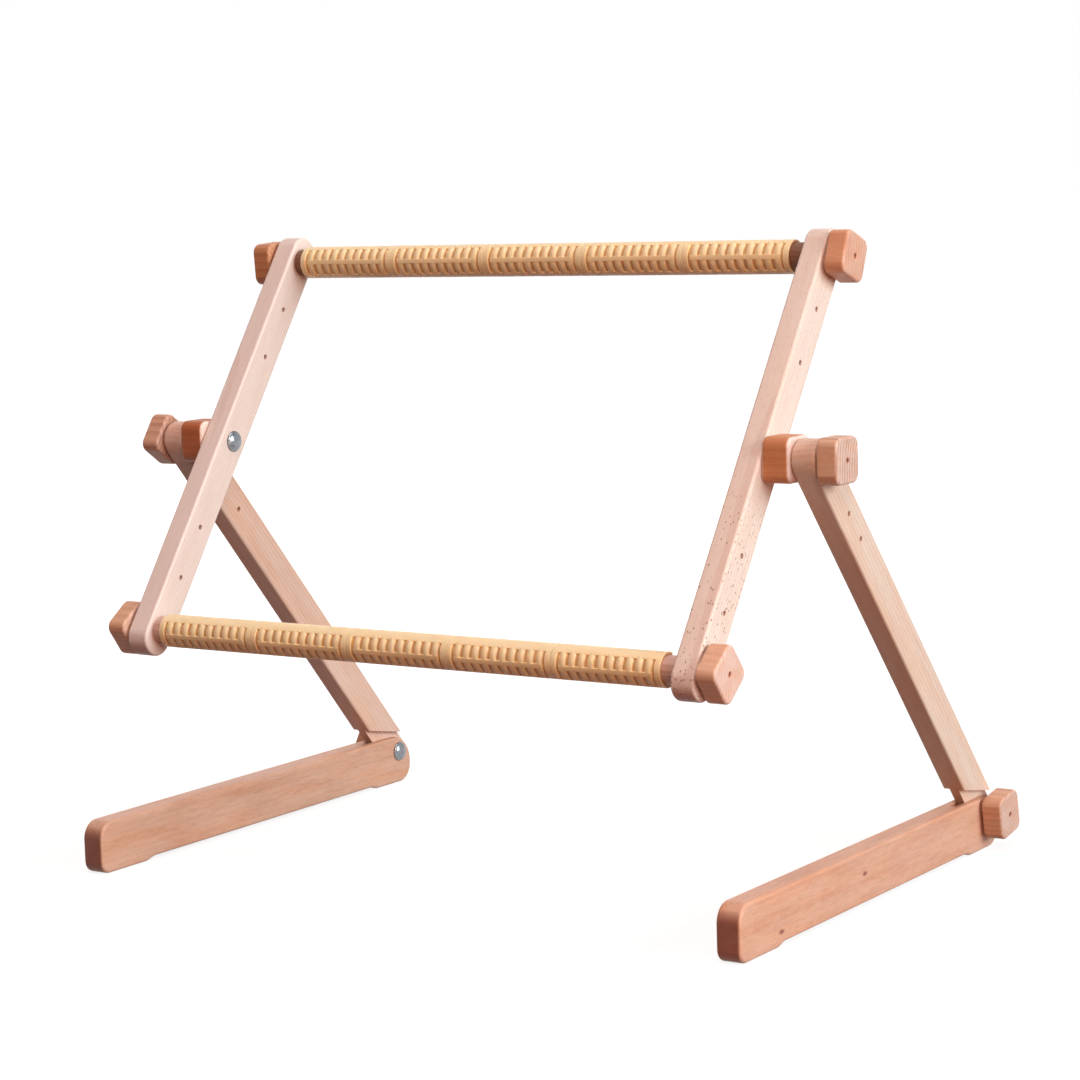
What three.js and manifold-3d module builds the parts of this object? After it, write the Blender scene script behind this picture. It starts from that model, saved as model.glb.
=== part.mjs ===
import * as THREE from 'three';
import { mergeVertices } from 'three/addons/utils/BufferGeometryUtils.js';
import Module from 'manifold-3d';

const wasm = await Module();
wasm.setup();

// Embroidery scroll frame stand, in millimetres. X runs along the rollers, Y to the back, Z up.
// Every wooden piece is a board square to X, drawn as an outline in Y and Z and given a thickness.

// ---- driving dimensions ----
const ROLLER_REACH = 200;          // top pivot to each roller axis, along the arm
const INNER_WIDTH = 559.4;         // between the two arms' inner faces
const FRAME_TILT = 35;             // degrees, arm tops lean back
const LEG_LEAN = 40.7;             // degrees from upright, leg tops lean forward
const LEAN_STOP = 56;              // lean at which the leg's shoulders meet the foot
const LEG_SPAN = 473.4;            // foot pivot to top pivot

const ARM_WIDTH = 34.5;
const ARM_THICKNESS = 22.5;
const ARM_OVERHANG = 8;            // roller axis to the centre of the round end beyond it
const ARM_EDGE = 2.5;
const ARM_HOLE_NEAR = 92.8;        // small holes, measured from the pivot both ways
const ARM_HOLE_FAR = 146;
const SMALL_HOLE_RADIUS = 2.3;

const LEG_WIDTH = 35.5;
const LEG_THICKNESS = 22.5;
const LEG_EDGE = 2.5;
const LEG_HOLE_NEAR = 65.4;        // small holes, measured down from the top pivot
const LEG_HOLE_FAR = 97;
const TENON_THICKNESS = 9;
const SHOULDER_LIFT = 4.1;         // rear end of the shoulder over the foot's top, as it stands

const FOOT_THICKNESS = 23;
const FOOT_HEIGHT = 48.8;
const FOOT_PIVOT_HEIGHT = 33;
const FOOT_FRONT = 465;            // pivot to the front end
const FOOT_REAR = 20.4;            // pivot to the rear end
const FOOT_EDGE = 3;
const FOOT_NOSE_TOP = 17;          // corner radii of the side view
const FOOT_NOSE_BOTTOM = 11;
const FOOT_HEEL_TOP = 28;
const FOOT_HEEL_BOTTOM = 18;
const FRONT_PAD = 62;
const REAR_PAD = 57;
const RELIEF_DEPTH = 2.9;
const RELIEF_SLOPE = 14;
const SLOT_RELIEF = 1;             // free length in front of the tenon at the stop

const BLOCK_WIDTH = 39.5;
const BLOCK_THICKNESS = 26.5;
const BLOCK_CORNER = 8.5;
const BLOCK_EDGE = 3.5;
const BLOCK_TURN = 0;

const KNOB_WIDTH = 39.5;
const KNOB_THICKNESS = 19.8;
const KNOB_CORNER = 8.5;
const KNOB_EDGE = 2.7;
const KNOB_HOLE_RADIUS = 2.4;
const KNOB_TURN = {
  right_top: -22, right_bottom: 38, left_top: 4, left_bottom: 35,
  right_pivot: 0, left_pivot: -35, right_foot: 10, left_foot: -34,
};

const SHANK_RADIUS = 4;            // M8 bolts and studs
const BOLT_HEAD_RADIUS = 10;
const BOLT_HEAD_HEIGHT = 4.8;
const BOLT_NECK = 8.5;
const BOLT_NECK_LENGTH = 4;
const THREAD_ENGAGED = 12.5;       // how far a shank runs into its knob
const STUD_IN_DOWEL = 32;
const WASHER_RADIUS = 12;
const WASHER_THICKNESS = 1.6;
const NUT_FLANGE_RADIUS = 11;
const NUT_FLANGE_THICKNESS = 1.5;
const NUT_BARREL_RADIUS = 5.6;
const NUT_LENGTH = 10;

const DOWEL_RADIUS = 12.5;
const CLIP_WALL = 2.3;
const CLIP_MOUTH = 100;            // degrees left open
const CLIP_MOUTH_FACES = { top: -3, bottom: 9 };   // degrees above level at the back
const CLIP_BARE_LEFT = 9.7;        // bare dowel beside the left arm
const CLIP_BARE_RIGHT = 13.4;

const GAP = 0.3;                   // between pieces that meet
const BORE_GAP = 0.4;              // shank to bore, on the radius
const SEAT_GAP = 0.3;              // clip to dowel, on the radius
const OVERRUN = 5;                 // how far a cutting tool runs past the wood

// ---- fineness ----
const CORNER_STEPS = 4;
const END_STEPS = 10;
const EDGE_STEPS = 3;
const SLOPE_STEPS = 4;
const CLIP_STEPS = 16;
const DOME_STEPS = 4;
const HEAD_SIDES = 20;
const BORE_SIDES = 16;
const FASTENER_SIDES = 12;
const SMALL_HOLE_SIDES = 10;
const DOWEL_SIDES = 28;

const CLIPS_A_ROLLER = 5;
const EASE_SHARES = [3, 2];        // smooth step, 3t^2 - 2t^3
const DOME_RIM_SHARE = 0.12;       // of a quarter turn, left as the head's upright rim

const rad = THREE.MathUtils.degToRad;
const QUARTER = Math.PI / 2;

// ---- outlines in Y and Z, anticlockwise seen from +X ----
function arc(y, z, radius, from, to, steps) {
  const points = [];
  for (let i = 0; i <= steps; i += 1) {
    const a = QUARTER * (from + (to - from) * i / steps);
    points.push(new THREE.Vector2(y + radius * Math.cos(a), z + radius * Math.sin(a)));
  }
  return points;
}

function roundedSquare(width, corner) {
  const c = width / 2 - corner;
  return [
    ...arc(c, -c, corner, -1, 0, CORNER_STEPS),
    ...arc(c, c, corner, 0, 1, CORNER_STEPS),
    ...arc(-c, c, corner, 1, 2, CORNER_STEPS),
    ...arc(-c, -c, corner, 2, 3, CORNER_STEPS),
  ];
}

function roundEndedBar(low, high, width) {
  return [
    ...arc(0, low, width / 2, 2, 4, END_STEPS),
    ...arc(0, high, width / 2, 0, 2, END_STEPS),
  ];
}

function easedRise(fromY, toY, fromZ, toZ) {
  const points = [];
  for (let i = 0; i <= SLOPE_STEPS; i += 1) {
    const t = i / SLOPE_STEPS;
    const lift = t * t * (EASE_SHARES[0] - EASE_SHARES[1] * t);
    points.push(new THREE.Vector2(fromY + (toY - fromY) * t, fromZ + (toZ - fromZ) * lift));
  }
  return points;
}

// The foot seen from the side, with its pivot at the origin.
function footOutline() {
  const front = -FOOT_FRONT;
  const padEnd = front + FRONT_PAD;
  const heel = FOOT_REAR - REAR_PAD;
  const nb = FOOT_NOSE_BOTTOM;
  const nt = FOOT_NOSE_TOP;
  const hb = FOOT_HEEL_BOTTOM;
  const ht = FOOT_HEEL_TOP;
  return [
    ...arc(front + nb, nb, nb, 2, 3, CORNER_STEPS),
    ...easedRise(padEnd, padEnd + RELIEF_SLOPE, 0, RELIEF_DEPTH),
    ...easedRise(heel - RELIEF_SLOPE, heel, RELIEF_DEPTH, 0),
    ...arc(FOOT_REAR - hb, hb, hb, 3, 4, CORNER_STEPS),
    ...arc(FOOT_REAR - ht, FOOT_HEIGHT - ht, ht, 0, 1, CORNER_STEPS),
    ...arc(front + nt, FOOT_HEIGHT - nt, nt, 1, 2, CORNER_STEPS),
  ].map((point) => point.sub(new THREE.Vector2(0, FOOT_PIVOT_HEIGHT)));
}

// ---- solids ----
// A board of the outline's shape, centred on x = 0, with its long edges rounded over.
function board(outline, thickness, edge) {
  const geometry = new THREE.ExtrudeGeometry(new THREE.Shape(outline), {
    depth: thickness - edge * 2,
    bevelEnabled: edge > 0,
    bevelThickness: edge,
    bevelSize: edge,
    bevelOffset: -edge,
    bevelSegments: EDGE_STEPS,
  });
  geometry.translate(0, 0, edge - thickness / 2);
  return geometry.rotateX(QUARTER).rotateZ(QUARTER);
}

// A piece turned about X, from points of (x, radius).
function turned(points, sides) {
  return new THREE.LatheGeometry(points.map(([x, r]) => new THREE.Vector2(r, x)), sides).rotateZ(-QUARTER);
}

function rod(x0, x1, radius, sides) {
  const geometry = new THREE.CylinderGeometry(radius, radius, x1 - x0, sides);
  return geometry.rotateZ(-QUARTER).translate((x0 + x1) / 2, 0, 0);
}

function squareRod(x0, x1, width) {
  return new THREE.BoxGeometry(x1 - x0, width, width).translate((x0 + x1) / 2, 0, 0);
}

function solid(geometry) {
  const bare = geometry.clone();
  bare.deleteAttribute('normal');
  bare.deleteAttribute('uv');
  const merged = mergeVertices(bare);
  const source = merged.getIndex().array;
  const triangles = [];
  for (let i = 0; i < source.length; i += 3) {
    const [a, b, c] = source.slice(i, i + 3);
    if (a !== b && b !== c && c !== a) triangles.push(a, b, c);
  }
  return new wasm.Manifold(new wasm.Mesh({
    numProp: 3,
    vertProperties: new Float32Array(merged.getAttribute('position').array),
    triVerts: new Uint32Array(triangles),
  }));
}

function surface(body) {
  const mesh = body.getMesh();
  const geometry = new THREE.BufferGeometry();
  geometry.setAttribute('position', new THREE.Float32BufferAttribute(mesh.vertProperties, 3));
  geometry.setIndex([...mesh.triVerts]);
  geometry.computeVertexNormals();
  return geometry;
}

function cut(geometry, tools) {
  return surface(tools.reduce((body, tool) => body.subtract(solid(tool)), solid(geometry)));
}

function join(geometries) {
  const [first, ...others] = geometries.map(solid);
  return surface(others.reduce((body, other) => body.add(other), first));
}

// A hole right through a board of the given thickness, at height z.
function through(thickness, radius, z, sides) {
  const half = thickness / 2 + OVERRUN;
  return rod(-half, half, radius, sides).translate(0, 0, z);
}

// ---- levels along X, worked out from the centre outward ----
const armInner = INNER_WIDTH / 2;
const armOuter = armInner + ARM_THICKNESS;
const blockInner = armOuter + GAP;
const legInner = blockInner + BLOCK_THICKNESS + GAP;
const legOuter = legInner + LEG_THICKNESS;
const legMiddle = (legInner + legOuter) / 2;
const footInner = legMiddle - FOOT_THICKNESS / 2;
const footOuter = legMiddle + FOOT_THICKNESS / 2;

// ---- places in Y and Z: the origin is under the middle of the part's depth ----
function knobReach(turn) {
  const straight = KNOB_WIDTH / 2 - KNOB_CORNER;
  return straight * (Math.abs(Math.cos(rad(turn))) + Math.abs(Math.sin(rad(turn)))) + KNOB_CORNER;
}

const rearReach = Math.max(FOOT_REAR, knobReach(KNOB_TURN.right_foot), knobReach(KNOB_TURN.left_foot));
const footPivotY = (FOOT_FRONT - rearReach) / 2;
const leanSin = Math.sin(rad(LEG_LEAN));
const leanCos = Math.cos(rad(LEG_LEAN));
const topPivotY = footPivotY - LEG_SPAN * leanSin;
const topPivotZ = FOOT_PIVOT_HEIGHT + LEG_SPAN * leanCos;

// ---- the scene graph: the stand, and the frame that turns between its leg tops ----
const group = new THREE.Group();
const frame = new THREE.Group();
frame.position.set(0, topPivotY, topPivotZ);
frame.rotation.x = rad(-FRAME_TILT);
group.add(frame);

const beech = new THREE.MeshStandardMaterial({ color: 0xd8a488, roughness: 0.55 });
const clipPlastic = new THREE.MeshStandardMaterial({ color: 0xe4b878, roughness: 0.4 });
const zinc = new THREE.MeshStandardMaterial({ color: 0xb9bdc2, roughness: 0.3, metalness: 0.9 });

function put(parent, name, geometry, material, x, y, z, turn) {
  const mesh = new THREE.Mesh(geometry, material);
  mesh.name = name;
  mesh.position.set(x, y, z);
  mesh.rotation.x = rad(turn);
  parent.add(mesh);
}

const boreRadius = SHANK_RADIUS + BORE_GAP;

// A square seat for a bolt's neck, sunk into the inner face of a board.
function neckSeat(side, thickness) {
  const face = -thickness / 2;
  const seat = squareRod(face - OVERRUN, face + BOLT_NECK_LENGTH + GAP, BOLT_NECK + GAP * 2);
  return side > 0 ? seat : seat.rotateZ(Math.PI);
}

// ---- feet ----
const footTop = FOOT_HEIGHT - FOOT_PIVOT_HEIGHT;
const legHalf = LEG_WIDTH / 2;
const stopSin = Math.sin(rad(LEAN_STOP));
const stopCos = Math.cos(rad(LEAN_STOP));
const slotFront = (footTop + legHalf * stopSin) / stopCos * stopSin + legHalf * stopCos + SLOT_RELIEF;

function foot(side) {
  const slotWidth = TENON_THICKNESS + GAP * 2;
  const slotLength = slotFront + FOOT_REAR + OVERRUN;
  const slot = new THREE.BoxGeometry(slotWidth, slotLength, (FOOT_HEIGHT + OVERRUN) * 2);
  return cut(board(footOutline(), FOOT_THICKNESS, FOOT_EDGE), [
    slot.translate(0, slotLength / 2 - slotFront, 0),
    through(FOOT_THICKNESS, boreRadius, 0, BORE_SIDES),
    neckSeat(side, FOOT_THICKNESS),
  ]);
}

// ---- legs: the shoulders are mitred, and meet the foot's top at the stop ----
const shoulderFront = (footTop + GAP + legHalf * stopSin) / stopCos;
const shoulderRear = (footTop + SHOULDER_LIFT - legHalf * leanSin) / leanCos;

function leg() {
  const reach = legHalf + OVERRUN;
  const slope = (shoulderFront - shoulderRear) / LEG_WIDTH;
  const waste = [
    new THREE.Vector2(-reach, -reach),
    new THREE.Vector2(reach, -reach),
    new THREE.Vector2(reach, shoulderRear - slope * OVERRUN),
    new THREE.Vector2(-reach, shoulderFront + slope * OVERRUN),
  ];
  const cheek = LEG_THICKNESS - TENON_THICKNESS;
  const out = TENON_THICKNESS / 2 + cheek / 2;
  return cut(board(roundEndedBar(0, LEG_SPAN, LEG_WIDTH), LEG_THICKNESS, LEG_EDGE), [
    board(waste, cheek, 0).translate(out, 0, 0),
    board(waste, cheek, 0).translate(-out, 0, 0),
    through(LEG_THICKNESS, boreRadius, 0, BORE_SIDES),
    through(LEG_THICKNESS, boreRadius, LEG_SPAN, BORE_SIDES),
    through(LEG_THICKNESS, SMALL_HOLE_RADIUS, LEG_SPAN - LEG_HOLE_NEAR, SMALL_HOLE_SIDES),
    through(LEG_THICKNESS, SMALL_HOLE_RADIUS, LEG_SPAN - LEG_HOLE_FAR, SMALL_HOLE_SIDES),
  ]);
}

// ---- frame arms ----
function arm(side) {
  const small = [ARM_HOLE_NEAR, ARM_HOLE_FAR, -ARM_HOLE_NEAR, -ARM_HOLE_FAR];
  const end = ROLLER_REACH + ARM_OVERHANG;
  return cut(board(roundEndedBar(-end, end, ARM_WIDTH), ARM_THICKNESS, ARM_EDGE), [
    through(ARM_THICKNESS, boreRadius, 0, BORE_SIDES),
    through(ARM_THICKNESS, boreRadius, ROLLER_REACH, BORE_SIDES),
    through(ARM_THICKNESS, boreRadius, -ROLLER_REACH, BORE_SIDES),
    ...small.map((z) => through(ARM_THICKNESS, SMALL_HOLE_RADIUS, z, SMALL_HOLE_SIDES)),
    neckSeat(side, ARM_THICKNESS),
  ]);
}

function spacerBlock() {
  return cut(board(roundedSquare(BLOCK_WIDTH, BLOCK_CORNER), BLOCK_THICKNESS, BLOCK_EDGE), [
    through(BLOCK_THICKNESS, boreRadius, 0, BORE_SIDES),
  ]);
}

// ---- knobs, each with a flanged nut let into its inner face ----
function knob() {
  const face = -KNOB_THICKNESS / 2;
  const flangeSeat = face + NUT_FLANGE_THICKNESS + GAP;
  const barrelSeat = face + Math.max(NUT_LENGTH, THREAD_ENGAGED) + GAP;
  return cut(board(roundedSquare(KNOB_WIDTH, KNOB_CORNER), KNOB_THICKNESS, KNOB_EDGE), [
    rod(face - OVERRUN, flangeSeat, NUT_FLANGE_RADIUS + GAP, BORE_SIDES),
    rod(face - OVERRUN, barrelSeat, NUT_BARREL_RADIUS + GAP, BORE_SIDES),
    through(KNOB_THICKNESS, KNOB_HOLE_RADIUS, 0, SMALL_HOLE_SIDES),
  ]);
}

function knobNut() {
  const bore = SHANK_RADIUS + GAP;
  return turned([
    [0, bore],
    [0, NUT_FLANGE_RADIUS],
    [NUT_FLANGE_THICKNESS, NUT_FLANGE_RADIUS],
    [NUT_FLANGE_THICKNESS, NUT_BARREL_RADIUS],
    [NUT_LENGTH, NUT_BARREL_RADIUS],
    [NUT_LENGTH, bore],
    [0, bore],
  ], FASTENER_SIDES);
}

function washer() {
  return turned([
    [0, boreRadius],
    [0, WASHER_RADIUS],
    [WASHER_THICKNESS, WASHER_RADIUS],
    [WASHER_THICKNESS, boreRadius],
    [0, boreRadius],
  ], FASTENER_SIDES);
}

// Seats a washer, a knob and its nut outward from a face, and returns how far out the shank ends.
function clamp(parent, label, side, face, y, z, turn) {
  const outward = side > 0 ? 0 : Math.PI;
  const washerAt = face + GAP;
  const knobAt = washerAt + WASHER_THICKNESS + GAP;
  const middle = knobAt + KNOB_THICKNESS / 2;
  put(parent, `${label}_washer`, washer().rotateZ(outward), zinc, side * washerAt, y, z, 0);
  put(parent, `${label}_knob`, knob().rotateZ(outward), beech, side * middle, y, z, turn);
  put(parent, `${label}_knob_nut`, knobNut().rotateZ(outward), zinc, side * knobAt, y, z, turn);
  return knobAt + THREAD_ENGAGED;
}

// A carriage bolt whose head seats on x = 0 and whose shank runs to +X.
function carriageBolt(length) {
  const dome = [[-GAP - BOLT_HEAD_HEIGHT, 0]];
  for (let i = 1; i <= DOME_STEPS; i += 1) {
    const a = QUARTER * (1 - (1 - DOME_RIM_SHARE) * i / DOME_STEPS);
    dome.push([-GAP - BOLT_HEAD_HEIGHT * Math.sin(a), BOLT_HEAD_RADIUS * Math.cos(a)]);
  }
  dome.push([-GAP, BOLT_HEAD_RADIUS], [-GAP, 0]);
  const inHead = -GAP - BOLT_HEAD_HEIGHT / 2;
  return join([
    turned(dome, HEAD_SIDES),
    squareRod(inHead, BOLT_NECK_LENGTH, BOLT_NECK),
    rod(inHead, length, SHANK_RADIUS, FASTENER_SIDES),
  ]);
}

// ---- both sides ----
const SIDES = { left: -1, right: 1 };

Object.entries(SIDES).forEach(([label, side]) => {
  const outward = side > 0 ? 0 : Math.PI;
  const lean = new THREE.Group();
  lean.position.set(side * legMiddle, footPivotY, FOOT_PIVOT_HEIGHT);
  lean.rotation.x = rad(LEG_LEAN);
  group.add(lean);
  put(lean, `${label}_leg`, leg(), beech, 0, 0, 0, 0);
  put(group, `${label}_foot`, foot(side), beech, side * legMiddle, footPivotY, FOOT_PIVOT_HEIGHT, 0);

  const low = `${label}_foot`;
  const footEnd = clamp(group, low, side, footOuter, footPivotY, FOOT_PIVOT_HEIGHT, KNOB_TURN[low]);
  const footBolt = carriageBolt(footEnd - footInner).rotateZ(outward);
  put(group, `${low}_bolt`, footBolt, zinc, side * footInner, footPivotY, FOOT_PIVOT_HEIGHT, 0);

  const high = `${label}_pivot`;
  const block = `${label}_spacer_block`;
  const blockMiddle = side * (blockInner + BLOCK_THICKNESS / 2);
  const pivotEnd = clamp(group, high, side, legOuter, topPivotY, topPivotZ, KNOB_TURN[high]);
  put(group, block, spacerBlock(), beech, blockMiddle, topPivotY, topPivotZ, BLOCK_TURN);

  const pivotBolt = carriageBolt(pivotEnd - armInner).rotateZ(outward);
  put(frame, `${label}_arm`, arm(side), beech, side * (armInner + ARM_THICKNESS / 2), 0, 0, 0);
  put(frame, `${high}_bolt`, pivotBolt, zinc, side * armInner, 0, 0, 0);
});

// ---- rollers: a dowel, a stud in each end, and clips along it ----
const dowelHalf = armInner - GAP;
const studFrom = dowelHalf - STUD_IN_DOWEL;
const clipInner = DOWEL_RADIUS + SEAT_GAP;
const clipStart = -armInner + CLIP_BARE_LEFT;
const clipRun = INNER_WIDTH - CLIP_BARE_LEFT - CLIP_BARE_RIGHT;
const clipPitch = clipRun / CLIPS_A_ROLLER;

function clip(mouthFaces, length) {
  const from = rad(mouthFaces + CLIP_MOUTH / 2) / QUARTER;
  const to = rad(mouthFaces - CLIP_MOUTH / 2) / QUARTER + 4;
  return board([
    ...arc(0, 0, clipInner + CLIP_WALL, from, to, CLIP_STEPS),
    ...arc(0, 0, clipInner, to, from, CLIP_STEPS),
  ], length, 0);
}

function roller(label, reach) {
  const bore = rod(studFrom - GAP, dowelHalf + OVERRUN, SHANK_RADIUS + GAP, BORE_SIDES);
  const dowel = cut(rod(-dowelHalf, dowelHalf, DOWEL_RADIUS, DOWEL_SIDES), [
    bore,
    bore.clone().rotateZ(Math.PI),
  ]);
  put(frame, `${label}_roller`, dowel, beech, 0, 0, reach, FRAME_TILT);
  Object.entries(SIDES).forEach(([name, side]) => {
    const end = `${name}_${label}`;
    const studTo = clamp(frame, end, side, armOuter, 0, reach, KNOB_TURN[end] + FRAME_TILT);
    const stud = rod(0, studTo - studFrom, SHANK_RADIUS, FASTENER_SIDES).rotateZ(side > 0 ? 0 : Math.PI);
    put(frame, `${end}_stud`, stud, zinc, side * studFrom, 0, reach, 0);
  });
  for (let i = 0; i < CLIPS_A_ROLLER; i += 1) {
    const sleeve = clip(CLIP_MOUTH_FACES[label], clipPitch - GAP);
    const middle = clipStart + clipPitch * (i + 1 / 2);
    put(frame, `${label}_clip_${i + 1}`, sleeve, clipPlastic, middle, 0, reach, FRAME_TILT);
  }
}

roller('top', ROLLER_REACH);
roller('bottom', -ROLLER_REACH);

export default group;
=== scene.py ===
from math import cos, pi, radians, sin

import bmesh
import bpy
from mathutils import Matrix, Vector


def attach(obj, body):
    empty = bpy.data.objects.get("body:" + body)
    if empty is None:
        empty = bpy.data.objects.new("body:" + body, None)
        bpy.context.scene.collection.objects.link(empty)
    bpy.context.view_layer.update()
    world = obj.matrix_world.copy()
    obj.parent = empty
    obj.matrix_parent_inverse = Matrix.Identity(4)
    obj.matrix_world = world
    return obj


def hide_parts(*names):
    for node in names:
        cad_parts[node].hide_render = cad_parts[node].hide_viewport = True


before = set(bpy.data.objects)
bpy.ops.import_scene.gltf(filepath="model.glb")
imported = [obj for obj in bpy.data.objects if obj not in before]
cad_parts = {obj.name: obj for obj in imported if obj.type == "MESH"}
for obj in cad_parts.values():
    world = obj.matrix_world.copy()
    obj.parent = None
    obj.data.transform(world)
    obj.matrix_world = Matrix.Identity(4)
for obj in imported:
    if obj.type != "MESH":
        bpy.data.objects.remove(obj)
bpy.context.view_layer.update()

# ---- feet ----
# Two flat bars of steamed beech standing on edge, planed, rounded over and sanded. The rear end
# is sawn to an open fork for the leg's tenon, and the underside is relieved between two pads.
MM = 0.001
SIDES = {"left": -1, "right": 1}
LEG_MIDDLE = 340.55                # both feet and both legs are centred on this x
FOOT_PIVOT = (220.441, 33)         # y and z of the bolt through the fork
FOOT_THICKNESS = 23
FOOT_HEIGHT = 48.8
FOOT_FRONT = 465
FOOT_REAR = 20.4
FOOT_EDGE = 3
FOOT_NOSE = (17, 11)               # top and bottom corner radii
FOOT_HEEL = (28, 18)
FOOT_PADS = (62, 57)
RELIEF_DEPTH = 2.9
RELIEF_SLOPE = 14
FORK_WIDTH = 9.6
FORK_FRONT = 56.17                 # how far the fork reaches in front of the bolt
BORE_RADIUS = 4.4
NECK_SEAT = (9.1, 4.3)             # width and depth of the square hole under a bolt's head


def arc(y, z, radius, start, stop, steps):
    """Points round an arc, from start to stop in quarter turns."""
    turns = [pi / 2 * (start + (stop - start) * i / steps) for i in range(steps + 1)]
    return [(y + radius * cos(t), z + radius * sin(t)) for t in turns]


def eased_rise(y0, y1, z0, z1, steps=8):
    """Points along a slope that starts and ends level."""
    shares = [i / steps for i in range(steps + 1)]
    return [(y0 + (y1 - y0) * t, z0 + (z1 - z0) * t * t * (3 - 2 * t)) for t in shares]


def new_piece(name, bm):
    """Turns the drawn faces into a named piece, in metres, with its faces pointing out."""
    bmesh.ops.remove_doubles(bm, verts=bm.verts, dist=1e-5)
    bmesh.ops.recalc_face_normals(bm, faces=bm.faces)
    bmesh.ops.scale(bm, vec=(MM, MM, MM), verts=bm.verts)
    mesh = bpy.data.meshes.new(name)
    bm.to_mesh(mesh)
    bm.free()
    piece = bpy.data.objects.new(name, mesh)
    bpy.context.scene.collection.objects.link(piece)
    return piece


def board(name, outline, thickness, edge, steps=5):
    """A board of this side view in y and z, centred on x = 0, with its long edges rounded over."""
    corners = [Vector(corner) for corner in outline]
    points = [p for i, p in enumerate(corners) if (p - corners[i - 1]).length > 1e-4]
    inward = []
    for i, point in enumerate(points):
        before = (point - points[i - 1]).normalized()
        after = (points[(i + 1) % len(points)] - point).normalized()
        a, b = Vector((-before.y, before.x)), Vector((-after.y, after.x))
        inward.append((a + b) / (1 + a.dot(b)))
    half = thickness / 2
    turns = [pi / 2 * i / steps for i in range(steps + 1)] if edge else [pi / 2]
    levels = [(edge * (1 - cos(t)) - half, edge * (1 - sin(t))) for t in turns]
    levels += [(-x, inset) for x, inset in reversed(levels)]
    bm = bmesh.new()
    rings = []
    for x, inset in levels:
        rings.append([bm.verts.new((x, *(p + d * inset))) for p, d in zip(points, inward)])
    for low, high in zip(rings, rings[1:]):
        for i in range(len(points)):
            bm.faces.new((low[i - 1], low[i], high[i], high[i - 1]))
    bm.faces.new(rings[0])
    bm.faces.new(rings[-1])
    return new_piece(name, bm)


def turned(name, profile, sides=48):
    """A piece turned about x, from (x, radius) points that start and end on the axis or meet."""
    bm = bmesh.new()
    rings = []
    for x, radius in profile:
        around = [2 * pi * i / sides for i in range(sides)] if radius else [0]
        rings.append([bm.verts.new((x, radius * cos(t), radius * sin(t))) for t in around])
    for low, high in zip(rings, rings[1:]):
        for i in range(sides):
            corners = (low[i - 1], low[i], high[i], high[i - 1]) if len(low) == len(high) else (
                (low[0], high[i], high[i - 1]) if len(low) == 1 else (low[i - 1], low[i], high[0]))
            if len(low) > 1 or len(high) > 1:
                bm.faces.new(corners)
    return new_piece(name, bm)


def block(name, low, high):
    """A square-cornered cutter between two corners."""
    bm = bmesh.new()
    bmesh.ops.create_cube(bm, size=1)
    for vert in bm.verts:
        vert.co = [b if c > 0 else a for a, b, c in zip(low, high, vert.co)]
    return new_piece(name, bm)


def drill(thickness, radius, z=0, eased=0.5):
    """A drill through a board at height z, which also breaks the sharp rim on both faces."""
    half = thickness / 2
    profile = [(-half - 2, 0), (-half - 2, radius + eased + 2), (-half + eased, radius)]
    profile += [(half - eased, radius), (half + 2, radius + eased + 2), (half + 2, 0)]
    tool = turned("drill", profile, 32)
    tool.location.z = z * MM
    return tool


def neck_seat(side, thickness):
    """The square seat for a bolt's neck, in the inner face of a board on this side."""
    width, depth = NECK_SEAT
    face, floor = sorted((-side * (thickness / 2 + 2), -side * (thickness / 2 - depth)))
    return block("neck_seat", (face, -width / 2, -width / 2), (floor, width / 2, width / 2))


def cut_away(piece, tools):
    """Cuts the tools' shapes out of the piece, in turn, and takes the tools away."""
    for tool in tools:
        saw = piece.modifiers.new(tool.name, "BOOLEAN")
        saw.operation, saw.solver, saw.object = "DIFFERENCE", "EXACT", tool
    seen = piece.evaluated_get(bpy.context.evaluated_depsgraph_get())
    mesh = bpy.data.meshes.new_from_object(seen)
    piece.modifiers.clear()
    piece.data = mesh
    for tool in tools:
        bpy.data.objects.remove(tool)
    return piece


def seat(piece, node, body, slot, material, x, y, z, turn=0.0, side=1):
    """Puts a piece where its solid is, on its body, smooth to the eye but crisp at its corners."""
    place = Matrix.Translation(Vector((x, y, z)) * MM) @ Matrix.Rotation(radians(turn), 4, "X")
    piece.matrix_world = place if side > 0 else place @ Matrix.Rotation(pi, 4, "Z")
    piece.data.materials.clear()
    piece.data.materials.append(material)
    piece.data.shade_smooth()
    piece.data.set_sharp_from_angle(angle=radians(34))
    even = piece.modifiers.new("even_shading", "WEIGHTED_NORMAL")
    even.keep_sharp = True
    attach(piece, body)
    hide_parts(node)
    return piece


def linear(colour):
    """An sRGB hex colour such as "#d8a488" as the linear colour that a shader takes."""
    channels = [int(colour[i:i + 2], 16) / 255 for i in (1, 3, 5)]
    return [c / 12.92 if c <= 0.04045 else ((c + 0.055) / 1.055) ** 2.4 for c in channels] + [1.0]


def add_node(tree, kind, inputs=None, out=0, **settings):
    """Adds a node with its settings and gives its output. An input takes a value or a node's output."""
    made = tree.nodes.new("ShaderNode" + kind)
    for name, value in settings.items():
        setattr(made, name, value)
    for socket, value in (inputs or {}).items():
        if isinstance(value, bpy.types.NodeSocket):
            tree.links.new(value, made.inputs[socket])
        else:
            made.inputs[socket].default_value = value
    return made.outputs[out] if made.outputs else made


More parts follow.
